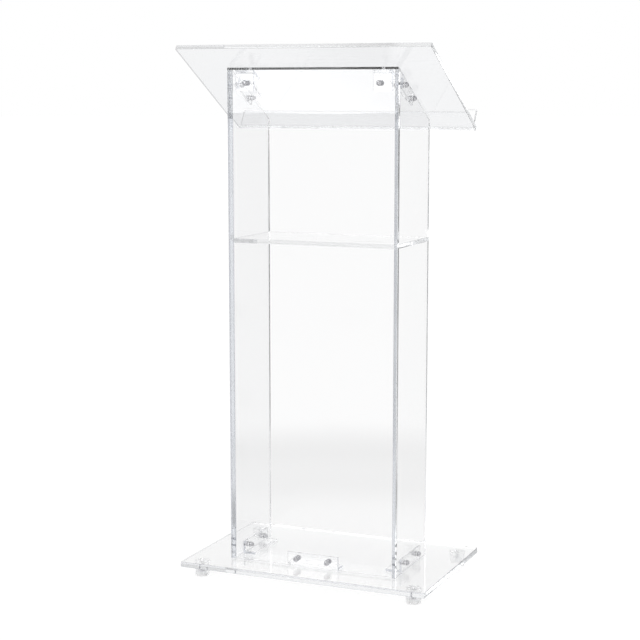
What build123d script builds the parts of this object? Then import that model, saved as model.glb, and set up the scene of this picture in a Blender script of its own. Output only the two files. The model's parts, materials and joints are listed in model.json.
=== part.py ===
"""Clear acrylic presentation lectern.

A column of three bonded sheets stands on a base plate and carries a sloping reading board.
Angle brackets are bonded to the base plate and to the board, and the column's panels are
screwed to them.

Frame: millimetres, +Z up. The origin is on the floor, below the middle of the base plate.
The audience stands on the -Y side and the speaker on the +Y side, +X is the audience's right.
"""

import os

from math import cos, radians, sin, tan

from build123d import *

# Overall
overall_height = 1210.0
slope = 30.0  # degrees, falling towards the speaker
film = 0.1  # cement film between two bonded sheets
seat = 0.05  # play between a metal piece and the sheet that it sits on
edge_ease = 0.6  # radius of the flame-polished edges

# Base plate and feet
base_width = 595.0
base_depth = 378.0
base_thickness = 12.0
base_corner_radius = 3.0
foot_height = 25.0
foot_radius = 18.0
foot_tip_radius = 16.0
foot_inset = 38.0
foot_recess_radius = 7.5
foot_recess_depth = 14.0
foot_rim_radius = 2.0
foot_screw_radius = 2.5
foot_screw_bite = 8.0
foot_screw_head_radius = 4.7
foot_screw_head_height = 3.0
foot_washer_radius = 6.5
cross_recess = (5.0, 1.1, 3.0)

# Column
column_width = 406.0
column_front = -116.0
column_back = 87.0
sheet_thickness = 10.0
front_top_gap = 1.5  # between the front panel's bevelled top and the board, upright
shelf_top = 781.0

# Reading board and book stop
board_width = 597.0
board_length = 360.0
board_thickness = 10.0
board_high_edge = -177.0
stop_width = 585.0
stop_height = 40.0
stop_thickness = 10.0

# Brackets
bracket_thickness = 5.0
base_bracket_length = 124.0
base_bracket_leg = 30.0
base_screw_spacing = 76.0
base_screw_rise = 16.5  # above the base plate
base_side_centre = -5.0
board_bracket_length = 76.0
board_bracket_leg = 25.0
board_bracket_centre = 76.0  # along the slope from the back of the front panel
board_screw_spacing = 58.0
corner_bracket_width = 44.0
corner_bracket_inner = 142.0
corner_bracket_drop = 48.0
corner_bracket_reach = 36.0
corner_screw_x = 159.0
corner_screw_drop = 30.3
inner_bend_radius = 0.8

# Fasteners
shank_radius = 2.95
clearance_radius = 3.25
head_radius = 6.0
head_height = 5.0
head_rim = 2.0
socket_flats = 4.0
socket_depth = 2.0
washer_radius = 6.5
washer_thickness = 1.2
nut_flats = 10.0
nut_hex_height = 5.0
nut_height = 10.0
nut_bore_radius = 3.0
nut_bore_depth = 7.5
nut_dome_inset = 0.3
shank_past_washer = 6.5
shank_tip = 0.7

# Places that follow from the dimensions
base_top = foot_height + base_thickness
panel_inner_y = column_front + sheet_thickness
side_inner_x = column_width / 2 - sheet_thickness
base_screw_z = base_top + base_screw_rise
grip = sheet_thickness + film + bracket_thickness  # from a screw's panel face to its nut's side


def underside(y):
    """Height of the reading board's lower face above a point at depth y."""
    drop = tan(radians(slope)) * (y - board_high_edge)
    return overall_height - drop - board_thickness / cos(radians(slope))


# Slope frame: origin under the board at the back of the front panel, local X down the slope
# towards the speaker, local Z square to the board, local Y towards -X of the lectern.
slope_origin = (0, panel_inner_y, underside(panel_inner_y))
slope_x = (0, cos(radians(slope)), -sin(radians(slope)))
slope_z = (0, sin(radians(slope)), cos(radians(slope)))
slope_plane = Plane(origin=slope_origin, x_dir=slope_x, z_dir=slope_z)


def on_slope(shape):
    """Moves a shape drawn in the slope frame to its place under the board."""
    return slope_plane.location * shape


def side_of(shape, side):
    """A shape made for the right side, or its mirror image for the left."""
    return shape if side > 0 else mirror(shape, about=Plane.YZ)


def eased(shape, radius=edge_ease):
    """Rounds every edge slightly, as flame polishing does."""
    return fillet(shape.edges(), radius)


def box_between(low, high):
    """A box from its lowest to its highest corner."""
    size = [b - a for a, b in zip(low, high)]
    middle = [(a + b) / 2 for a, b in zip(low, high)]
    return Pos(*middle) * Box(*size)


def upright(radius, low, high):
    """A cylinder about Z between two heights."""
    return Pos(0, 0, (low + high) / 2) * Cylinder(radius, high - low)


def drill(shape, frame, radius, depth):
    """Cuts a round hole that starts just before the frame's origin and goes along its Z."""
    return shape - frame.location * upright(radius, -1, depth)


# Frames of the panel screws: origin on the panel's outer face, Z into the column


def front_screw_frame(x, z):
    """A screw that enters the front panel."""
    return Plane(origin=(x, column_front, z), x_dir=(1, 0, 0), z_dir=(0, 1, 0))


def side_screw_frame(side, y, z, x_dir=(0, 1, 0)):
    """A screw that enters a side panel; side is +1 on the right and -1 on the left."""
    return Plane(origin=(side * column_width / 2, y, z), x_dir=x_dir, z_dir=(-side, 0, 0))


def front_base_frames():
    half = base_screw_spacing / 2
    return [front_screw_frame(x, base_screw_z) for x in (-half, half)]


def side_base_frames(side):
    half = base_screw_spacing / 2
    return [side_screw_frame(side, base_side_centre + d, base_screw_z) for d in (-half, half)]


def board_frames(side):
    """The two screws of a board bracket, in a row parallel to the board."""
    frames = []
    for d in (-board_screw_spacing / 2, board_screw_spacing / 2):
        point = slope_plane.from_local_coords((board_bracket_centre + d, 0, -board_bracket_leg / 2))
        frames.append(side_screw_frame(side, point.Y, point.Z, slope_x))
    return frames


def corner_frame(side):
    return front_screw_frame(side * corner_screw_x, underside(panel_inner_y) - corner_screw_drop)


def front_frames():
    return front_base_frames() + [corner_frame(side) for side in (-1, 1)]


def side_frames(side):
    return side_base_frames(side) + board_frames(side)


def all_screw_frames():
    return front_frames() + side_frames(-1) + side_frames(1)


def foot_places():
    """Name and centre of each foot."""
    x = base_width / 2 - foot_inset
    y = base_depth / 2 - foot_inset
    return {
        "front_left_foot": (-x, -y),
        "front_right_foot": (x, -y),
        "rear_left_foot": (-x, y),
        "rear_right_foot": (x, y),
    }


# Acrylic sheets


def base_plate():
    plate = Box(base_width, base_depth, base_thickness)
    plate = fillet(plate.edges().filter_by(Axis.Z), base_corner_radius)
    plate = Pos(0, 0, foot_height + base_thickness / 2) * eased(plate)
    for x, y in foot_places().values():
        below = Plane(origin=(x, y, foot_height), z_dir=(0, 0, 1))
        plate = drill(plate, below, foot_screw_radius, foot_screw_bite + 0.5)
    return plate


def front_panel():
    """The front of the column: its top is bevelled to the slope of the board."""
    foot = base_top + film
    outline = Polyline(
        (column_front, foot),
        (panel_inner_y, foot),
        (panel_inner_y, underside(panel_inner_y) - front_top_gap),
        (column_front, underside(column_front) - front_top_gap),
        close=True,
    )
    left_end = Plane(origin=(-column_width / 2, 0, 0), x_dir=(0, 1, 0), z_dir=(1, 0, 0))
    panel = eased(extrude(left_end * make_face(outline), column_width))
    for frame in front_frames():
        panel = drill(panel, frame, clearance_radius, sheet_thickness + 1)
    return panel


def side_panel(side):
    """A side of the column: its upper edge follows the slope of the board."""
    front = panel_inner_y + film
    foot = base_top + film
    outline = Polyline(
        (front, foot),
        (column_back, foot),
        (column_back, underside(column_back) - film),
        (front, underside(front) - film),
        close=True,
    )
    inner_face = Plane(origin=(side_inner_x, 0, 0), x_dir=(0, 1, 0), z_dir=(1, 0, 0))
    panel = eased(extrude(inner_face * make_face(outline), sheet_thickness))
    for frame in side_frames(1):
        panel = drill(panel, frame, clearance_radius, sheet_thickness + 1)
    return side_of(panel, side)


def middle_shelf():
    half = side_inner_x - film
    low = (-half, panel_inner_y + film, shelf_top - sheet_thickness)
    return eased(box_between(low, (half, column_back, shelf_top)))


def board_low_end():
    """Place of the board's low edge along the slope."""
    high_end = (board_high_edge - panel_inner_y) / cos(radians(slope))
    high_end -= board_thickness * tan(radians(slope))
    return high_end + board_length


def reading_board():
    board = Box(board_length, board_width, board_thickness)
    board = fillet(board.edges().filter_by(Axis.Z), base_corner_radius)
    x = board_low_end() - board_length / 2
    return on_slope(Pos(x, 0, board_thickness / 2) * eased(board))


def book_stop():
    """Strip that stands square on the board, flush with its low edge."""
    strip = eased(Box(stop_thickness, stop_width, stop_height))
    x = board_low_end() - stop_thickness / 2
    return on_slope(Pos(x, 0, board_thickness + film + stop_height / 2) * strip)


# Acrylic brackets


def angle(leg, length):
    """An angle profile of equal legs along Y, its outer corner at the origin, legs +X and +Z."""
    t = bracket_thickness
    profile = Polyline((0, 0), (leg, 0), (leg, t), (t, t), (t, leg), (0, leg), close=True)
    face = make_face(Plane.XZ * profile)
    body = extrude(face, length / 2, both=True)
    inner = body.edges().filter_by(Axis.Y).sort_by_distance((t, 0, t))[0]
    body = fillet(inner, inner_bend_radius)
    free = [e for e in body.edges() if e.center().X > leg - 0.01 or e.center().Z > leg - 0.01]
    return fillet(free, edge_ease)


def drill_bracket(bracket, frames):
    """Screw holes through the leg that lies behind a panel."""
    for frame in frames:
        start = Plane(frame.from_local_coords((0, 0, sheet_thickness)), frame.x_dir, frame.z_dir)
        bracket = drill(bracket, start, clearance_radius, bracket_thickness + 2)
    return bracket


def front_base_bracket():
    body = Rot(0, 0, 90) * angle(base_bracket_leg, base_bracket_length)
    body = Pos(0, panel_inner_y + film, base_top + film) * body
    return drill_bracket(body, front_base_frames())


def side_base_bracket(side):
    body = Rot(0, 0, 180) * angle(base_bracket_leg, base_bracket_length)
    body = Pos(side_inner_x - film, base_side_centre, base_top + film) * body
    return side_of(drill_bracket(body, side_base_frames(1)), side)


def board_bracket(side):
    """An angle under the board, along the top of the right side panel."""
    body = Rot(0, 0, 90) * Rot(180, 0, 0) * angle(board_bracket_leg, board_bracket_length)
    body = Pos(board_bracket_centre, -(side_inner_x - film), -film) * body
    return side_of(drill_bracket(on_slope(body), board_frames(1)), side)


def corner_bracket(side):
    """A strip bent to the angle between the front panel and the board."""
    t = bracket_thickness
    y = panel_inner_y + film
    top = underside(y) - film / cos(radians(slope))
    run = corner_bracket_reach * cos(radians(slope))
    fall = corner_bracket_reach * sin(radians(slope))
    inner_top = top - t * tan(radians(slope)) - t / cos(radians(slope))
    outline = Polyline(
        (y, top),
        (y + run, top - fall),
        (y + run - t * sin(radians(slope)), top - fall - t * cos(radians(slope))),
        (y + t, inner_top),
        (y + t, top - corner_bracket_drop),
        (y, top - corner_bracket_drop),
        close=True,
    )
    inner_end = Plane(origin=(corner_bracket_inner, 0, 0), x_dir=(0, 1, 0), z_dir=(1, 0, 0))
    body = extrude(inner_end * make_face(outline), corner_bracket_width)
    bend = body.edges().filter_by(Axis.X).sort_by_distance((0, y + t, inner_top))[0]
    body = fillet(bend, inner_bend_radius)
    ends = body.edges().filter_by(GeomType.LINE).filter_by(Axis.Z).sort_by(Axis.Z)[:4]
    body = fillet(ends, edge_ease)
    return side_of(drill_bracket(body, [corner_frame(1)]), side)


# Fasteners, each drawn with its origin on the panel's outer face and Z into the column


def panel_screw():
    """Pan-head screw with a hexagon socket."""
    under_head = -seat - washer_thickness - seat
    dome = Pos(0, 0, under_head) * Rot(180, 0, 0) * pan_head()
    end = grip + washer_thickness + 2 * seat + shank_past_washer
    shank = upright(shank_radius, under_head, end)
    return dome + chamfer(shank.edges().sort_by(Axis.Z)[-1], shank_tip)


def pan_head():
    """A domed head that stands on Z = 0, with its socket cut from the top."""
    flat = socket_flats * 0.7
    outline = Polyline((0, 0), (head_radius, 0), (head_radius, head_rim))
    shoulder = (head_radius * 0.72, head_height * 0.74)
    crown = ThreePointArc((head_radius, head_rim), shoulder, (flat, head_height))
    top = Polyline((flat, head_height), (0, head_height), (0, 0))
    head = revolve(Plane.XZ * make_face(outline + crown + top), Axis.Z)
    socket = extrude(
        Plane.XY.offset(head_height - socket_depth)
        * RegularPolygon(socket_flats / 2, 6, major_radius=False),
        socket_depth + 1,
    )
    return head - socket


def washer():
    """A flat washer that lies on Z = 0."""
    disc = Cylinder(washer_radius, washer_thickness)
    disc = fillet(disc.edges().filter_by(GeomType.CIRCLE), 0.3)
    ring = disc - Cylinder(clearance_radius, 2 * washer_thickness)
    return Pos(0, 0, washer_thickness / 2) * ring


def head_washer():
    return Pos(0, 0, -seat - washer_thickness) * washer()


def nut_washer():
    return Pos(0, 0, grip + seat) * washer()


def cap_nut():
    """A hexagon nut with a domed, closed end."""
    hexagon = extrude(RegularPolygon(nut_flats / 2, 6, major_radius=False), nut_hex_height)
    turned = upright(nut_flats / 2 * 1.11, 0, nut_hex_height)
    hexagon &= chamfer(turned.edges().filter_by(GeomType.CIRCLE), 0.5)
    dome_radius = nut_flats / 2 - nut_dome_inset
    straight = nut_height - dome_radius
    dome = upright(dome_radius, 0, straight) + Pos(0, 0, straight) * Sphere(dome_radius)
    dome &= upright(nut_flats, 0, nut_height)
    bore = upright(nut_bore_radius, 0, nut_bore_depth)
    return Pos(0, 0, grip + washer_thickness + 3 * seat) * (hexagon + dome - bore)


def group(piece, frames):
    """Copies of one fastener, one in each frame."""
    return Compound(children=[frame.location * piece for frame in frames])


# Feet, each drawn with its origin on the floor below the foot's centre


def foot():
    """A tapered clear foot, recessed from below for its screw."""
    outline = Polyline(
        (0, 0), (foot_tip_radius, 0), (foot_radius, foot_height - film), (0, foot_height - film), close=True
    )
    body = revolve(Plane.XZ * make_face(outline), Axis.Z)
    rims = body.edges().filter_by(GeomType.CIRCLE).sort_by(Axis.Z)
    body = fillet(rims[0], foot_rim_radius)
    body = fillet(body.edges().filter_by(GeomType.CIRCLE).sort_by(Axis.Z)[-1], edge_ease)
    body -= Cylinder(foot_recess_radius, 2 * foot_recess_depth)
    return body - Cylinder(foot_screw_radius + 0.25, 3 * foot_height)


def foot_washer():
    """Washer against the bottom of the foot's recess."""
    hole = Cylinder(foot_screw_radius + 0.2, 2 * washer_thickness)
    ring = Cylinder(foot_washer_radius, washer_thickness) - hole
    return Pos(0, 0, foot_recess_depth - seat - washer_thickness / 2) * ring


def foot_screw():
    """Pan-head screw, head down, that holds a foot to the base plate."""
    seat_z = foot_recess_depth - 2 * seat - washer_thickness
    head_low = seat_z - foot_screw_head_height
    head = upright(foot_screw_head_radius, head_low, seat_z)
    head = fillet(head.edges().sort_by(Axis.Z)[0], 1.4)
    for turn in (0, 90):
        head -= Pos(0, 0, head_low) * Rot(0, 0, turn) * Box(*cross_recess)
    shank = upright(foot_screw_radius - 0.05, seat_z, foot_height + foot_screw_bite)
    return head + chamfer(shank.edges().sort_by(Axis.Z)[-1], shank_tip)


def at_feet(piece):
    return Compound(children=[Pos(x, y, 0) * piece for x, y in foot_places().values()])


def nodes():
    """Every sub-part by name."""
    parts = {
        "base_plate": base_plate(),
        "front_panel": front_panel(),
        "middle_shelf": middle_shelf(),
        "reading_board": reading_board(),
        "book_stop": book_stop(),
        "front_base_bracket": front_base_bracket(),
        "panel_screws": group(panel_screw(), all_screw_frames()),
        "head_washers": group(head_washer(), all_screw_frames()),
        "nut_washers": group(nut_washer(), all_screw_frames()),
        "cap_nuts": group(cap_nut(), all_screw_frames()),
        "foot_screws": at_feet(foot_screw()),
        "foot_washers": at_feet(foot_washer()),
    }
    for name, side in (("left", -1), ("right", 1)):
        parts[f"{name}_side_panel"] = side_panel(side)
        parts[f"{name}_base_bracket"] = side_base_bracket(side)
        parts[f"{name}_board_bracket"] = board_bracket(side)
        parts[f"{name}_corner_bracket"] = corner_bracket(side)
    for name, (x, y) in foot_places().items():
        parts[name] = Pos(x, y, 0) * foot()
    return parts


os.makedirs("parts", exist_ok=True)
for name, shape in nodes().items():
    export_step(shape, f"parts/{name}.step")
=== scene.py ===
"""Looks of the clear acrylic presentation lectern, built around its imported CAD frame.

Metres, +Z up. The origin is on the floor below the middle of the base plate, the audience is
on the -Y side and the speaker on the +Y side.
"""

import json
import math
import random

import bmesh
import bpy
from mathutils import Matrix, Vector


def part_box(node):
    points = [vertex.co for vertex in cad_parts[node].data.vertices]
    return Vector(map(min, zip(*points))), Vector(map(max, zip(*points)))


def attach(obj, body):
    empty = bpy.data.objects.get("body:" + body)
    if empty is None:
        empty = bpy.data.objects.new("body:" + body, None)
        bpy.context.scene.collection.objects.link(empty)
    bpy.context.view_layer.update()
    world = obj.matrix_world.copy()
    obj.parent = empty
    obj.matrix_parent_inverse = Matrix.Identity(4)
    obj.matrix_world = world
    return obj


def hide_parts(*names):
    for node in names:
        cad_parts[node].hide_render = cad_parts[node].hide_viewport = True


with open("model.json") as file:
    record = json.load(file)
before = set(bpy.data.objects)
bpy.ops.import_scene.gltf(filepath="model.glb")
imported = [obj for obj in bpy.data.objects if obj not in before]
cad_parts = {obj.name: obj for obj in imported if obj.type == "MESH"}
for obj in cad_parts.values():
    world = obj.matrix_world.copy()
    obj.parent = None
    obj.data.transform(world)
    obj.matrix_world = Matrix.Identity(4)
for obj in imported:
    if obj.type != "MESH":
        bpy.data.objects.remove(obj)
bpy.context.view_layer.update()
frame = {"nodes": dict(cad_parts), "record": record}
chance = random.Random(11)

# Camera
CAMERA_PLACE = (1.4013, -3.3304, 1.1170)
CAMERA_TURN = math.radians(23.2318)  # from straight ahead of the lectern, towards +X
CAMERA_DIP = math.radians(8.2825)
CAMERA_LENS = 89.74
CAMERA_SENSOR = 36.0

# Light that the clear sheets see and bend; the camera itself sees a white stage
BACKDROP_GLOW = 1.02  # straight behind the lectern
BACKDROP_SPREAD = math.radians(44)
BACKDROP_CORE = 0.35  # share of the spread that is fully bright
ROOM_GLOW = 0.86
CEILING_GLOW = 0.85
CEILING_RISE = (0.12, 0.6)  # sine of the height at which the room turns into the ceiling
CARD_BEARING = CAMERA_TURN  # grey cards stand behind on the right and in front on the left
CARD_SPREAD = math.radians(22)
CARD_CORE = 0.3
BACK_CARD = 0.12  # how much light each card takes away
FRONT_CARD = 0.66
STAGE_WHITE = 1.03
FLOOR_RADIUS = 60.0
FLOOR_SHARE = 0.22  # part of the floor's tone that is real diffuse reflection
FLOOR_LIT = 0.8  # how brightly the studio lights that part
FLOOR_NEAR = 0.93
FLOOR_DIP = 0.86
DIP_STARTS = (0.50, 0.85)  # metres from the lectern
DIP_ENDS = (1.15, 1.75)
FLOOR_CARD = 0.40  # grey card on the floor beside the base, seen in reflections only
FLOOR_CARD_SIDE = (0.29, 0.33)
FLOOR_CARD_END = (0.60, 0.90)

# Acrylic
ACRYLIC_IOR = 1.49
ACRYLIC_DEPTH_COLOUR = (0.55, 0.60, 0.66, 1)
ACRYLIC_DENSITY = 0.3
FACE_TINT = (0.995, 0.996, 0.998, 1)
FACE_WAVES = 7.0  # waves to the metre in the cast faces
FACE_WAVE_HEIGHT = 0.00012
BOARD_SHADE_TINT = (0.905, 0.91, 0.92, 1)  # painted shade: the board's faces are tinted darker, standing in for the dimmer surroundings the tilted board reflects
FACE_ROUGHNESS = 0.004
SMUDGE_ROUGHNESS = 0.03
SMUDGE_WAVES = 9.0
SMUDGE_LEVELS = (0.56, 0.78)  # noise levels between which a smudge comes up
SMUDGE_HAZE = 0.985
SCUFF_TINT = (0.86, 0.88, 0.91, 1)
SCUFF_ROUGHNESS = 0.12
SCUFF_WAVES = 420.0
SCUFF_LEVELS = (0.60, 0.70)
SCUFF_SHARE = 0.6
RIM_WIDTH = 0.012  # how far handling wear reaches in from an edge
# Edge finishes: the tint of each is painted shade, greyer where an edge should read darker, standing
# in for the darkness that light picks up inside a sheet's edge
SCRAPED_SHADED_EDGE = ((0.83, 0.85, 0.89, 1), 0.15, 0.9)  # painted shade tint, real roughness and share of painted dark rim lines
BUFFED_SHADED_EDGE = ((0.99, 0.992, 0.997, 1), 0.03, 0.6)
POLISHED_EDGE = ((0.995, 0.996, 0.998, 1), 0.02, 0.12)
CLEAR_EDGE = ((1, 1, 1, 1), 0.02, 0.05)
SAWN_SHADED_EDGE = ((0.74, 0.76, 0.81, 1), 0.22, 1.0)
EDGE_SQUARENESS = (0.96, 0.80)  # how square a normal is to the sheet on a face and on an edge
SAW_WAVES = 900.0
SAW_DRAW = 0.94  # how far the saw marks are drawn out through the sheet
SAW_HEIGHT = 0.000012
SAW_SHADE = 0.97
BUFF_WAVES = 14.0
RIM_BAND_WIDTH = 0.0016  # band along both rims of a sawn edge: a rougher scraper chamfer, with a dark tint that is painted shade
# painted shade of the rim lines
RIM_SHADE_TINT = (0.52, 0.54, 0.58, 1)
ARRIS_ROUGHNESS = 0.25

# Steel and vinyl
STEEL_BRIGHT = (0.64, 0.64, 0.66, 1)
STEEL_DULL = (0.48, 0.48, 0.50, 1)
STEEL_ROUGHNESS = (0.16, 0.36)
VINYL_CLEAR = (0.99, 0.99, 1.0, 1)
VINYL_CLOUDY = (0.95, 0.96, 0.97, 1)
VINYL_DUST = (0.86, 0.85, 0.83, 1)
VINYL_ROUGHNESS = (0.24, 0.40)
VINYL_IOR = 1.45
DUST_HEIGHT = 0.006

# Screws, in the screw's own frame: Z into the column, 0 under the head
SCREW_STEPS = 40
THREAD_PITCH = 0.001
THREAD_DEPTH = 0.00042
THREAD_STEPS = 6  # rings to one turn
THREAD_RUN_IN = 10  # rings over which the thread deepens
PLAIN_SHANK = 0.009
SCREW_TIP = 0.0008
TIP_TAPER = 0.0007
SOCKET_FLATS = 0.004
SOCKET_DEPTH = 0.002
SOCKET_LIP = 0.0003
SOCKET_FLARE = 1.06
SOCKET_FLOOR = 0.4  # share of the socket's radius at which its floor skin starts
HEAD_CROWN = 0.0031
HEAD_FLAT = 0.45  # share of the head's radius that is flat on top
HEAD_STEPS = 8
HEAD_EASE = 0.0004
HEAD_UNDERCUT = 0.0003

# Cement
CEMENT_LAP = 0.00003  # how far the cement reaches into the sheets, which joins them optically
CEMENT_GAP = 0.00002  # clearance of a bead from the sheets beside it
FILM_STEP = 0.006
FILM_INSET = (0.0006, 0.0005)  # least inset of a film's border, and its wander
BEAD_STEP = 0.012
BEAD_SIZE = 0.0011
BEAD_LIMITS = (0.55, 1.5)  # thinnest and thickest place, as shares of the size
BEAD_PULL = 0.35
BEAD_WANDER = 0.16
BRACKET_CLEARANCE = 0.004
SHELF_CLEARANCE = 0.0004

LIGHT_BOUNCES = 64


# ---------------------------------------------------------------- node helpers
class Tree:
    """A material's node tree, with short calls for adding and joining nodes."""

    def __init__(self, name):
        self.material = bpy.data.materials.new(name)
        self.material.use_nodes = True
        self.start(self.material.node_tree, "ShaderNodeOutputMaterial")

    def start(self, tree, output_kind):
        self.nodes = tree.nodes
        self.links = tree.links
        self.nodes.clear()
        self.output = self.nodes.new(output_kind)

    def add(self, kind, settings=None, **inputs):
        """A new node with its properties and its inputs set, each input a value or a socket."""
        node = self.nodes.new("ShaderNode" + kind)
        for name, value in (settings or {}).items():
            setattr(node, name, value)
        for name, value in inputs.items():
            self.put(node.inputs[name.replace("_", " ")], value)
        return node

    def put(self, socket, value):
        """Sets an input, or links a socket to it."""
        if isinstance(value, bpy.types.NodeSocket):
            self.links.new(value, socket)
        else:
            socket.default_value = value

    def math(self, operation, *values):
        node = self.add("Math", {"operation": operation})
        for socket, value in zip(node.inputs, values):
            self.put(socket, value)
        return node.outputs[0]

    def dot(self, vector, direction):
        node = self.add("VectorMath", {"operation": "DOT_PRODUCT"})
        self.put(node.inputs[0], vector)
        self.put(node.inputs[1], tuple(direction))
        return node.outputs["Value"]

    def fade(self, value, start, end, low=0.0, high=1.0):
        """A smooth change from low to high as the value goes from start to end."""
        node = self.add("MapRange", {"interpolation_type": "SMOOTHSTEP"}, Value=value)
        limits = {"From Min": start, "From Max": end, "To Min": low, "To Max": high}
        for name, number in limits.items():
            self.put(node.inputs[name], number)
        return node.outputs["Result"]

    def blend(self, factor, first, second):
        node = self.add("Mix", {"data_type": "FLOAT"})
        for index, value in ((0, factor), (2, first), (3, second)):
            self.put(node.inputs[index], value)
        return node.outputs[0]

    def blend_colour(self, factor, first, second):
        node = self.add("Mix", {"data_type": "RGBA"})
        for index, value in ((0, factor), (6, first), (7, second)):
            self.put(node.inputs[index], value)
        return node.outputs[2]

    def noise(self, position, scale, stretch=(1, 1, 1), detail=3.0, roughness=0.5):
        """Noise of so many waves to the metre, drawn out along the axes of a small stretch."""
        moved = self.add("Mapping", Vector=position)
        self.put(moved.inputs["Scale"], stretch)
        node = self.add("TexNoise", Vector=moved.outputs[0], Scale=scale, Detail=detail)
        self.put(node.inputs["Roughness"], roughness)
        return node.outputs[0]

    def bump(self, height, distance, normal=None):
        node = self.add("Bump", Height=height, Distance=distance, Strength=1.0)
        if normal is not None:
            self.put(node.inputs["Normal"], normal)
        return node.outputs[0]

    def finish(self, surface):
        self.links.new(surface, self.output.inputs["Surface"])
        return self.material


# ---------------------------------------------------------------- acrylic
def broad_directions(mesh):
    """Directions square to a mesh's broad faces, the broadest first."""
    areas = {}
    for face in mesh.polygons:
        normal = face.normal
        sign = 1 if max(normal, key=abs) > 0 else -1
        key = tuple(round(sign * part, 2) + 0.0 for part in normal)
        areas[key] = areas.get(key, 0.0) + face.area
    ranked = sorted(areas, key=areas.get, reverse=True)
    return [Vector(key).normalized() for key in ranked if areas[key] > 0.4 * areas[ranked[0]]]


def reach_along(mesh, direction):
    """Lowest and highest place of a mesh along a direction."""
    places = [vertex.co.dot(direction) for vertex in mesh.vertices]
    return min(places), max(places)


def skin_distance(tree, place, mesh, direction):
    """Distance from a place to the nearer end of a mesh along a direction."""
    low, high = reach_along(mesh, direction)
    at = tree.dot(place, direction)
    return tree.math("MINIMUM", tree.math("SUBTRACT", at, low), tree.math("SUBTRACT", high, at))


def rim_distance(tree, place, mesh, normal):
    """Distance from a place on a sheet to the nearest border of the sheet."""
    along = Vector((1, 0, 0)) if abs(normal.x) < 0.9 else Vector((0, 1, 0))
    ends = [skin_distance(tree, place, mesh, way) for way in (along, normal.cross(along))]
    return tree.math("MINIMUM", *ends)


def clear_through_shadows(tree, body):
    """A glass body that lets lamp light straight through, as thin clear sheets do."""
    lamp_path = tree.add("LightPath")
    open_way = tree.add("BsdfTransparent")
    blend = tree.add("MixShader")
    tree.links.new(lamp_path.outputs["Is Shadow Ray"], blend.inputs[0])
    tree.links.new(body.outputs[0], blend.inputs[1])
    tree.links.new(open_way.outputs[0], blend.inputs[2])
    depth = tree.add("VolumeAbsorption")
    depth.inputs["Color"].default_value = ACRYLIC_DEPTH_COLOUR
    depth.inputs["Density"].default_value = ACRYLIC_DENSITY
    tree.links.new(depth.outputs[0], tree.output.inputs["Volume"])
    return tree.finish(blend.outputs[0])


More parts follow.
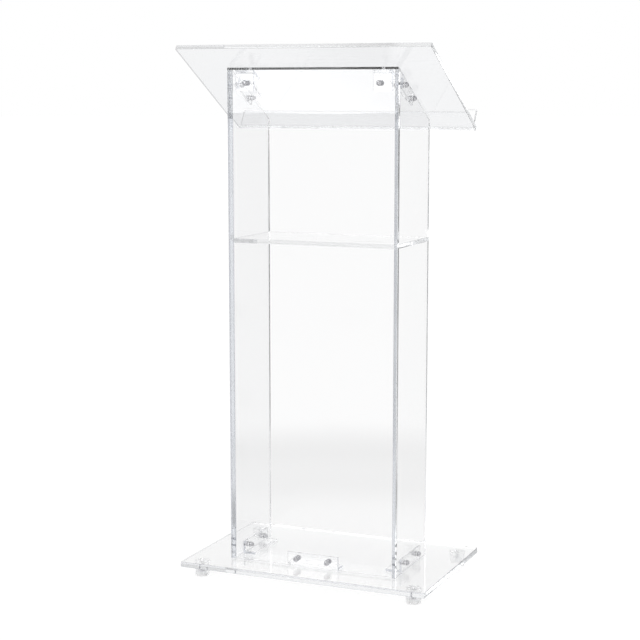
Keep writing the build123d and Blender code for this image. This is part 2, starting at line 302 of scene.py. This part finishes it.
def acrylic_sheet(name, mesh, face_tint, edge_finish_and_shade, joined_before=None):
    """Cast acrylic: clear wavy faces with faint smudges, and sawn edges with scraped rims; the edges'
    grey tint and the darker rim lines are painted shade.

    Edges that lie before a given depth are joined with cement, so they are clear and get no painted
    shade.
    """
    edge_shade_tint, edge_roughness, rim_chamfer_and_shade_share = edge_finish_and_shade
    tree = Tree(name)
    shape = tree.add("NewGeometry")
    place = shape.outputs["Position"]
    flats = broad_directions(mesh)

    squareness = tree.math("ABSOLUTE", tree.dot(shape.outputs["True Normal"], flats[0]))
    for flat in flats[1:]:
        other = tree.math("ABSOLUTE", tree.dot(shape.outputs["True Normal"], flat))
        squareness = tree.math("MAXIMUM", squareness, other)
    edge = tree.fade(squareness, *EDGE_SQUARENESS)
    if joined_before is not None:
        open_side = tree.fade(tree.dot(place, (0, 1, 0)), joined_before - 0.001, joined_before)
        edge = tree.math("MULTIPLY", edge, open_side)

    # Handling: smudges all over, and scuffs in a band along the borders
    smudge = tree.fade(tree.noise(place, SMUDGE_WAVES, detail=4.0), *SMUDGE_LEVELS)
    rim = tree.fade(rim_distance(tree, place, mesh, flats[0]), RIM_WIDTH, 0.0)
    scuff_grain = tree.fade(tree.noise(place, SCUFF_WAVES, detail=2.0), *SCUFF_LEVELS)
    scuff = tree.math("MULTIPLY", rim, scuff_grain)

    # Sawn edges: marks square to the sheet, buffed unevenly
    saw_stretch = tuple(1.0 - SAW_DRAW * abs(part) for part in flats[0])
    saw_marks = tree.noise(place, SAW_WAVES, saw_stretch, detail=1.0)
    buffing = tree.noise(place, BUFF_WAVES, detail=3.0)

    face_roughness = tree.blend(smudge, FACE_ROUGHNESS, SMUDGE_ROUGHNESS)
    face_roughness = tree.blend(scuff, face_roughness, SCUFF_ROUGHNESS)
    buffed = tree.fade(buffing, 0.35, 0.70, 0.6 * edge_roughness, 1.5 * edge_roughness)
    # rim band: rougher as a scraper chamfer, and painted dark as shade
    rim_chamfer_and_shade = tree.fade(skin_distance(tree, place, mesh, flats[0]), RIM_BAND_WIDTH, 0.5 * RIM_BAND_WIDTH)
    rim_chamfer_and_shade = tree.math("MULTIPLY", rim_chamfer_and_shade, rim_chamfer_and_shade_share)
    buffed = tree.blend(rim_chamfer_and_shade, buffed, ARRIS_ROUGHNESS)
    roughness = tree.blend(edge, face_roughness, buffed)

    # Painted shade: the edges' grey tint, a little darker in the saw marks and darker still along the
    # rims
    saw_marked_edge_shade = tuple(SAW_SHADE * part for part in edge_shade_tint[:3]) + (1,)
    edge_shade_colour = tree.blend_colour(tree.fade(saw_marks, 0.35, 0.65), edge_shade_tint, saw_marked_edge_shade)
    edge_shade_colour = tree.blend_colour(rim_chamfer_and_shade, edge_shade_colour, RIM_SHADE_TINT)
    hazy_face = tuple(SMUDGE_HAZE * part for part in face_tint[:3]) + (1,)
    face_colour = tree.blend_colour(smudge, face_tint, hazy_face)
    scuff_dirt = tree.math("MULTIPLY", scuff, SCUFF_SHARE)
    face_colour = tree.blend_colour(scuff_dirt, face_colour, SCUFF_TINT)
    colour = tree.blend_colour(edge, face_colour, edge_shade_colour)

    waved = tree.bump(tree.noise(place, FACE_WAVES, detail=1.0), FACE_WAVE_HEIGHT)
    marks = tree.math("MULTIPLY", saw_marks, edge)
    normal = tree.bump(marks, SAW_HEIGHT, waved)

    body = tree.add("BsdfPrincipled", Roughness=roughness, Normal=normal)
    tree.put(body.inputs["Base Color"], colour)
    body.inputs["IOR"].default_value = ACRYLIC_IOR
    body.inputs["Transmission Weight"].default_value = 1.0
    return clear_through_shadows(tree, body)


# ---------------------------------------------------------------- metal and vinyl
def polished_steel(name):
    """Polished steel: fine rubbed grain and small dull patches."""
    tree = Tree(name)
    place = tree.add("NewGeometry").outputs["Position"]
    grain = tree.noise(place, 2600.0, (1, 1, 0.25), detail=2.0)
    patches = tree.noise(place, 320.0, detail=4.0)
    tone = tree.blend_colour(tree.fade(patches, 0.35, 0.7), STEEL_BRIGHT, STEEL_DULL)
    body = tree.add("BsdfPrincipled", Normal=tree.bump(grain, 0.00002))
    tree.put(body.inputs["Base Color"], tone)
    tree.put(body.inputs["Roughness"], tree.fade(patches, 0.3, 0.75, *STEEL_ROUGHNESS))
    body.inputs["Metallic"].default_value = 1.0
    return tree.finish(body.outputs[0])


def clear_vinyl(name):
    """Soft clear vinyl: cloudy inside, with a dull moulded skin that picks up dust low down."""
    tree = Tree(name)
    place = tree.add("NewGeometry").outputs["Position"]
    cloud = tree.noise(place, 90.0, detail=4.0)
    skin = tree.noise(place, 1500.0, detail=3.0)
    height = tree.add("SeparateXYZ", Vector=place).outputs["Z"]
    dusty = tree.math("MULTIPLY", tree.fade(height, DUST_HEIGHT, 0.0), tree.fade(cloud, 0.4, 0.6))
    tone = tree.blend_colour(tree.fade(cloud, 0.3, 0.7), VINYL_CLEAR, VINYL_CLOUDY)
    tone = tree.blend_colour(dusty, tone, VINYL_DUST)
    body = tree.add("BsdfPrincipled", Normal=tree.bump(skin, 0.00003))
    tree.put(body.inputs["Base Color"], tone)
    tree.put(body.inputs["Roughness"], tree.fade(cloud, 0.3, 0.7, *VINYL_ROUGHNESS))
    body.inputs["IOR"].default_value = VINYL_IOR
    body.inputs["Transmission Weight"].default_value = 0.9
    return tree.finish(body.outputs[0])


ROW = frame["record"]
SLOTS = {part["node"]: part["material_slot"] for part in ROW["subparts"]}
# Edge finish of each sheet; its tint and its dark rim lines are painted shade
EDGES = {
    "left_side_panel": SCRAPED_SHADED_EDGE,
    "right_side_panel": SCRAPED_SHADED_EDGE,
    "front_panel": POLISHED_EDGE,
    "base_plate": BUFFED_SHADED_EDGE,
    "reading_board": CLEAR_EDGE,
    "book_stop": CLEAR_EDGE,
    "middle_shelf": CLEAR_EDGE,
}
steel = polished_steel("polished_steel_rubbed")
vinyl = clear_vinyl("clear_vinyl_moulded")
for name, node in frame["nodes"].items():
    if SLOTS[name] == "clear_acrylic":
        # the reading board's darker face tint is painted shade
        tint = BOARD_SHADE_TINT if name == "reading_board" else FACE_TINT
        # the brackets' edges get the darkest painted shade
        edges = SAWN_SHADED_EDGE if name.endswith("_bracket") else EDGES[name]
        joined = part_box(name)[1][1] - 0.002 if name == "middle_shelf" else None
        finish = acrylic_sheet("acrylic_" + name, node.data, tint, edges, joined)
    else:
        finish = steel if SLOTS[name] == "polished_steel" else vinyl
    for place in node.material_slots:
        place.material = finish


# ---------------------------------------------------------------- pieces
def new_piece(name, verts, faces, material, smooth=True):
    """A mesh object in the scene with one material."""
    mesh = bpy.data.meshes.new(name)
    mesh.from_pydata(verts, [], faces)
    work = bmesh.new()
    work.from_mesh(mesh)
    bmesh.ops.recalc_face_normals(work, faces=work.faces)
    work.to_mesh(mesh)
    work.free()
    mesh.materials.append(material)
    for face in mesh.polygons:
        face.use_smooth = smooth
    made = bpy.data.objects.new(name, mesh)
    bpy.context.scene.collection.objects.link(made)
    return made


def mark_sharp(piece, degrees):
    """Keeps the creases of a smooth-shaded piece."""
    piece.data.set_sharp_from_angle(angle=math.radians(degrees))


def skin_rings(rings):
    """Points and faces of a closed skin over rings of equally many points."""
    count = len(rings[0])
    verts = [point for ring in rings for point in ring]
    faces = []
    for level in range(len(rings) - 1):
        for i in range(count):
            a, b = level * count + i, level * count + (i + 1) % count
            faces.append((a, b, b + count, a + count))
    faces.append(tuple(range(count)))
    faces.append(tuple(range((len(rings) - 1) * count, len(rings) * count)))
    return verts, faces


def round_ring(radius, height):
    """A ring about Z whose radius may change with the angle."""
    ring = []
    for i in range(SCREW_STEPS):
        angle = 2 * math.pi * i / SCREW_STEPS
        r = radius(angle) if callable(radius) else radius
        ring.append((r * math.cos(angle), r * math.sin(angle), height))
    return ring


def hexagon(flats):
    """Radius of a hexagon at an angle, for its size across the flats."""
    sixth = math.pi / 3
    return lambda angle: flats / 2 / math.cos(angle % sixth - sixth / 2)


def screw_islands(mesh):
    """The separate solids of a mesh, each as a list of its corner points."""
    work = bmesh.new()
    work.from_mesh(mesh)
    bmesh.ops.remove_doubles(work, verts=work.verts, dist=1e-6)
    seen = set()
    islands = []
    for start in work.verts:
        if start in seen:
            continue
        seen.add(start)
        todo = [start]
        island = []
        while todo:
            vertex = todo.pop()
            island.append(vertex.co.copy())
            for edge in vertex.link_edges:
                other = edge.other_vert(vertex)
                if other not in seen:
                    seen.add(other)
                    todo.append(other)
        islands.append(island)
    work.free()
    return islands


def screw_profile(head_radius, head_height, shank_radius, length):
    """Rings of a pan-head screw from the floor of its socket, round the head, to its tip."""
    top = -head_height
    hex_radius = hexagon(SOCKET_FLATS)
    rings = [
        round_ring(lambda a: SOCKET_FLOOR * hex_radius(a), top + SOCKET_DEPTH),
        round_ring(hex_radius, top + SOCKET_DEPTH),
        round_ring(hex_radius, top + SOCKET_LIP),
        round_ring(lambda a: SOCKET_FLARE * hex_radius(a), top),
    ]
    flat = HEAD_FLAT * head_radius
    for i in range(HEAD_STEPS + 1):
        turn = math.pi / 2 * i / HEAD_STEPS
        radius = flat + (head_radius - flat) * math.sin(turn)
        rings.append(round_ring(radius, top + HEAD_CROWN * (1 - math.cos(turn))))
    rings.append(round_ring(head_radius, -HEAD_EASE))
    rings.append(round_ring(head_radius - HEAD_UNDERCUT, 0.0))
    rings.append(round_ring(shank_radius, 0.0))
    rings.append(round_ring(shank_radius, PLAIN_SHANK))
    turns = (length - PLAIN_SHANK - SCREW_TIP) / THREAD_PITCH
    for i in range(int(turns * THREAD_STEPS) + 1):
        height = PLAIN_SHANK + i * THREAD_PITCH / THREAD_STEPS
        run_in = min(1.0, i / THREAD_RUN_IN)

        def thread(angle, height=height, run_in=run_in):
            phase = (height / THREAD_PITCH - angle / (2 * math.pi)) % 1.0
            groove = 1 - abs(2 * phase - 1)
            return shank_radius - THREAD_DEPTH * run_in * groove

        rings.append(round_ring(thread, height))
    rings.append(round_ring(shank_radius - TIP_TAPER, length))
    return rings


def threaded_screws():
    """One threaded screw in the place of each plain one."""
    for number, island in enumerate(screw_islands(frame["nodes"]["panel_screws"].data)):
        low = Vector([min(p[k] for p in island) for k in range(3)])
        high = Vector([max(p[k] for p in island) for k in range(3)])
        size = high - low
        middle = (low + high) / 2
        axis = max(range(3), key=lambda k: size[k])
        inward = Vector((0, 0, 0))
        inward[axis] = -1.0 if axis == 0 and middle.x > 0 else 1.0
        head_end = middle - inward * size[axis] / 2
        head_radius = min(size[k] for k in range(3) if k != axis) / 2
        beyond = [p for p in island if abs((p - head_end).dot(inward)) > 0.7 * size[axis]]
        shank_radius = max((p - middle).cross(inward).length for p in beyond)
        head = [p for p in island if (p - middle).cross(inward).length > 0.98 * head_radius]
        head_height = max((p - head_end).dot(inward) for p in head)
        rings = screw_profile(head_radius, head_height, shank_radius, size[axis] - head_height)
        verts, faces = skin_rings(rings)
        spin = Matrix.Rotation(chance.uniform(0, 6), 3, "Z")
        turn = inward.to_track_quat("Z", "Y").to_matrix() @ spin
        origin = head_end + inward * head_height
        placed = [origin + turn @ Vector(v) for v in verts]
        screw = new_piece(f"panel_screw_{number + 1}", placed, faces, steel)
        mark_sharp(screw, 35)
        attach(screw, "root")
        yield screw


for screw in list(threaded_screws()):
    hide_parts("panel_screws")


# ---------------------------------------------------------------- cement
def cement(name):
    """Hardened solvent cement: as clear as the sheets, with tiny bubbles in its skin."""
    tree = Tree(name)
    place = tree.add("NewGeometry").outputs["Position"]
    bubbles = tree.add("TexVoronoi", Vector=place, Scale=700.0).outputs["Distance"]
    froth = tree.fade(bubbles, 0.22, 0.10)
    body = tree.add("BsdfPrincipled", Normal=tree.bump(tree.noise(place, 500.0), 0.00002))
    tree.put(body.inputs["Roughness"], tree.blend(froth, 0.01, 0.3))
    tree.put(body.inputs["Base Color"], tree.blend_colour(froth, (1, 1, 1, 1), (0.92, 0.93, 0.95, 1)))
    body.inputs["IOR"].default_value = ACRYLIC_IOR
    body.inputs["Transmission Weight"].default_value = 1.0
    return clear_through_shadows(tree, body)


cement_clear = cement("acrylic_cement")


def cement_film(name, corner, along, across, through, length, width, depth):
    """A film of cement between two sheets, with a wandering border."""
    count = max(8, int(length / FILM_STEP))
    least, wander = FILM_INSET
    sides = []
    for base, way in ((0.0, 1.0), (width, -1.0)):
        inset = [least + wander * chance.random() for _ in range(count + 1)]
        sides.append([base + way * value for value in inset])
    rings = []
    for i in range(count + 1):
        at = least + (length - 2 * least) * i / count
        ring = []
        for border, level in ((0, 0.0), (1, 0.0), (1, depth), (0, depth)):
            ring.append(corner + along * at + across * sides[border][i] + through * level)
        rings.append(ring)
    verts, faces = skin_rings(rings)
    film = new_piece(name, verts, faces, cement_clear, smooth=False)
    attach(film, "root")
    return film


X, Y, Z = Vector((1, 0, 0)), Vector((0, 1, 0)), Vector((0, 0, 1))


def shelf_films():
    """Cement along the three bonded sides of the shelf."""
    low, high = (Vector(c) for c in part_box("middle_shelf"))
    thickness = high.z - low.z
    panel_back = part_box("front_panel")[1][1]
    lap = CEMENT_LAP
    depth = low.y - panel_back + 2 * lap
    start = Vector((low.x, panel_back - lap, low.z))
    cement_film("shelf_front_cement", start, X, Z, Y, high.x - low.x, thickness, depth)
    for side, name in ((-1, "left"), (1, "right")):
        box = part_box(name + "_side_panel")
        wall = box[1][0] if side < 0 else box[0][0]
        end = low.x if side < 0 else high.x
        begin = min(wall, end) - lap
        depth = abs(end - wall) + 2 * lap
        start = Vector((begin, low.y, low.z))
        cement_film(f"shelf_{name}_cement", start, Y, Z, X, high.y - low.y, thickness, depth)


def corner_bead(name, corner, first, second, along, length, size):
    """A hollow fillet of cement squeezed out along an inside corner, thicker here and there."""
    count = int(length / BEAD_STEP)
    rings = []
    swell = 1.0
    for i in range(count + 1):
        swell += BEAD_PULL * (1.0 - swell) + chance.uniform(-BEAD_WANDER, BEAD_WANDER)
        r = size * max(BEAD_LIMITS[0], min(BEAD_LIMITS[1], swell))
        at = corner + along * (length * i / count)
        ring = [at, at + first * r]
        for step in (1, 2, 3):
            turn = math.pi / 2 * step / 4
            ring.append(at + first * r * (1 - math.sin(turn)) + second * r * (1 - math.cos(turn)))
        ring.append(at + second * r)
        rings.append(ring)
    verts, faces = skin_rings(rings)
    bead = new_piece(name, verts, faces, cement_clear)
    mark_sharp(bead, 40)
    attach(bead, "root")


def column_beads():
    """Cement squeezed out of the column's two upright joints, between the brackets."""
    panel_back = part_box("front_panel")[1][1]
    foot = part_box("left_base_bracket")[1][2] + BRACKET_CLEARANCE
    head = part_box("left_corner_bracket")[0][2] - BRACKET_CLEARANCE
    shelf_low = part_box("middle_shelf")[0][2] - SHELF_CLEARANCE
    shelf_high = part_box("middle_shelf")[1][2] + SHELF_CLEARANCE
    for side, name in ((-1, "left"), (1, "right")):
        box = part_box(name + "_side_panel")
        wall = (box[1][0] if side < 0 else box[0][0]) - side * CEMENT_GAP
        for part, low, high in (("lower", foot, shelf_low), ("upper", shelf_high, head)):
            corner = Vector((wall, panel_back + CEMENT_GAP, low))
            corner_bead(f"{name}_{part}_bead", corner, -side * X, Y, Z, high - low, BEAD_SIZE)


shelf_films()
column_beads()


# ---------------------------------------------------------------- stage
def disc(name, radius, height, steps=96):
    """A flat round floor."""
    ring = []
    for i in range(steps):
        angle = 2 * math.pi * i / steps
        ring.append((radius * math.cos(angle), radius * math.sin(angle), height))
    mesh = bpy.data.meshes.new(name)
    mesh.from_pydata(ring, [], [list(range(steps))])
    made = bpy.data.objects.new(name, mesh)
    bpy.context.scene.collection.objects.link(made)
    return made


def reflected_share(tree):
    """One for light that has been reflected on its way to the camera, and otherwise zero."""
    path = tree.add("LightPath")
    return tree.math("GREATER_THAN", path.outputs["Glossy Depth"], 0.5)


def studio_glow(tree, direction):
    """Brightness that the glass sees in a direction: a bright backdrop, a room and two cards.

    The cards only darken light that has been reflected inside the sheets.
    """
    flat = tree.add("VectorMath", {"operation": "MULTIPLY"})
    tree.put(flat.inputs[0], direction)
    tree.put(flat.inputs[1], (1, 1, 0))
    level = tree.add("VectorMath", {"operation": "NORMALIZE"})
    tree.put(level.inputs[0], flat.outputs[0])
    ahead = Vector((-math.sin(CAMERA_TURN), math.cos(CAMERA_TURN), 0))
    card = Vector((math.sin(CARD_BEARING), math.cos(CARD_BEARING), 0))
    spread = math.cos(BACKDROP_SPREAD), math.cos(BACKDROP_CORE * BACKDROP_SPREAD)
    bright = tree.fade(tree.dot(level.outputs[0], ahead), *spread, ROOM_GLOW, BACKDROP_GLOW)
    borders = math.cos(CARD_SPREAD), math.cos(CARD_CORE * CARD_SPREAD)
    back = tree.fade(tree.dot(level.outputs[0], card), *borders, 0.0, BACK_CARD)
    front = tree.fade(tree.dot(level.outputs[0], -card), *borders, 0.0, FRONT_CARD)
    shade = tree.math("MULTIPLY", tree.math("ADD", back, front), reflected_share(tree))
    return tree.math("SUBTRACT", bright, shade)


def white_floor():
    """A plain white floor that lights the lectern from below with a faint dip around it."""
    tree = Tree("white_floor")
    place = tree.add("NewGeometry").outputs["Position"]
    length = tree.add("VectorMath", {"operation": "LENGTH"})
    tree.put(length.inputs[0], place)
    radius = length.outputs["Value"]
    close = tree.fade(radius, *DIP_STARTS, FLOOR_NEAR, FLOOR_DIP)
    beside = tree.fade(tree.dot(place, (-1, 0, 0)), *FLOOR_CARD_SIDE)
    card = tree.math("MULTIPLY", beside, tree.fade(radius, *FLOOR_CARD_END, FLOOR_CARD, 0.0))
    close = tree.math("SUBTRACT", close, tree.math("MULTIPLY", card, reflected_share(tree)))
    seen = tree.blend(tree.fade(radius, *DIP_ENDS), close, studio_glow(tree, place))
    path = tree.add("LightPath")
    shown = tree.blend(path.outputs["Is Camera Ray"], seen, STAGE_WHITE)
    dim = tree.math("SUBTRACT", shown, FLOOR_LIT * FLOOR_SHARE)
    light = tree.add("Emission", Strength=dim)
    body = tree.add("BsdfDiffuse", Color=(FLOOR_SHARE, FLOOR_SHARE, FLOOR_SHARE, 1))
    both = tree.add("AddShader")
    tree.links.new(light.outputs[0], both.inputs[0])
    tree.links.new(body.outputs[0], both.inputs[1])
    return tree.finish(both.outputs[0])


class WorldTree(Tree):
    """The world's node tree."""

    def __init__(self, name):
        world = bpy.data.worlds.new(name)
        bpy.context.scene.world = world
        world.use_nodes = True
        self.start(world.node_tree, "ShaderNodeOutputWorld")


def studio():
    """A soft white room: even overhead, with the glow's bright sides near the horizon."""
    tree = WorldTree("studio")
    direction = tree.add("TexCoord").outputs["Generated"]
    height = tree.add("SeparateXYZ", Vector=direction).outputs["Z"]
    overhead = tree.fade(height, *CEILING_RISE)
    seen = tree.blend(overhead, studio_glow(tree, direction), CEILING_GLOW)
    path = tree.add("LightPath")
    bare = tree.blend(path.outputs["Is Camera Ray"], seen, 1.0)
    backdrop = tree.add("Background", Color=(1, 1, 1, 1), Strength=bare)
    tree.links.new(backdrop.outputs[0], tree.output.inputs["Surface"])


def softbox(name, place, aim, width, height, strength):
    """A soft square lamp that the camera doesn't see."""
    lamp = bpy.data.lights.new(name, "AREA")
    lamp.shape = "RECTANGLE"
    lamp.size = width
    lamp.size_y = height
    lamp.energy = strength * width * height * math.pi
    made = bpy.data.objects.new(name, lamp)
    bpy.context.scene.collection.objects.link(made)
    made.location = place
    made.rotation_euler = (Vector(aim) - Vector(place)).to_track_quat("-Z", "Y").to_euler()
    made.visible_camera = False


floor = disc("floor", FLOOR_RADIUS, 0.0)
floor.data.materials.append(white_floor())
studio()
softbox("front_softbox", (-1.58, -3.68, 2.0), (-1.0, 0.0, 2.0), 1.6, 2.0, 2.3)

# ---------------------------------------------------------------- camera
camera_data = bpy.data.cameras.new("camera")
camera_data.lens = CAMERA_LENS
camera_data.sensor_width = CAMERA_SENSOR
camera = bpy.data.objects.new("camera", camera_data)
bpy.context.scene.collection.objects.link(camera)
camera.location = CAMERA_PLACE
camera.rotation_euler = (math.pi / 2 - CAMERA_DIP, 0, CAMERA_TURN)

scene = bpy.context.scene
scene.camera = camera
scene.view_settings.view_transform = "Standard"
for bounces in ("max_bounces", "transmission_bounces", "glossy_bounces", "transparent_max_bounces"):
    setattr(scene.cycles, bounces, LIGHT_BOUNCES)
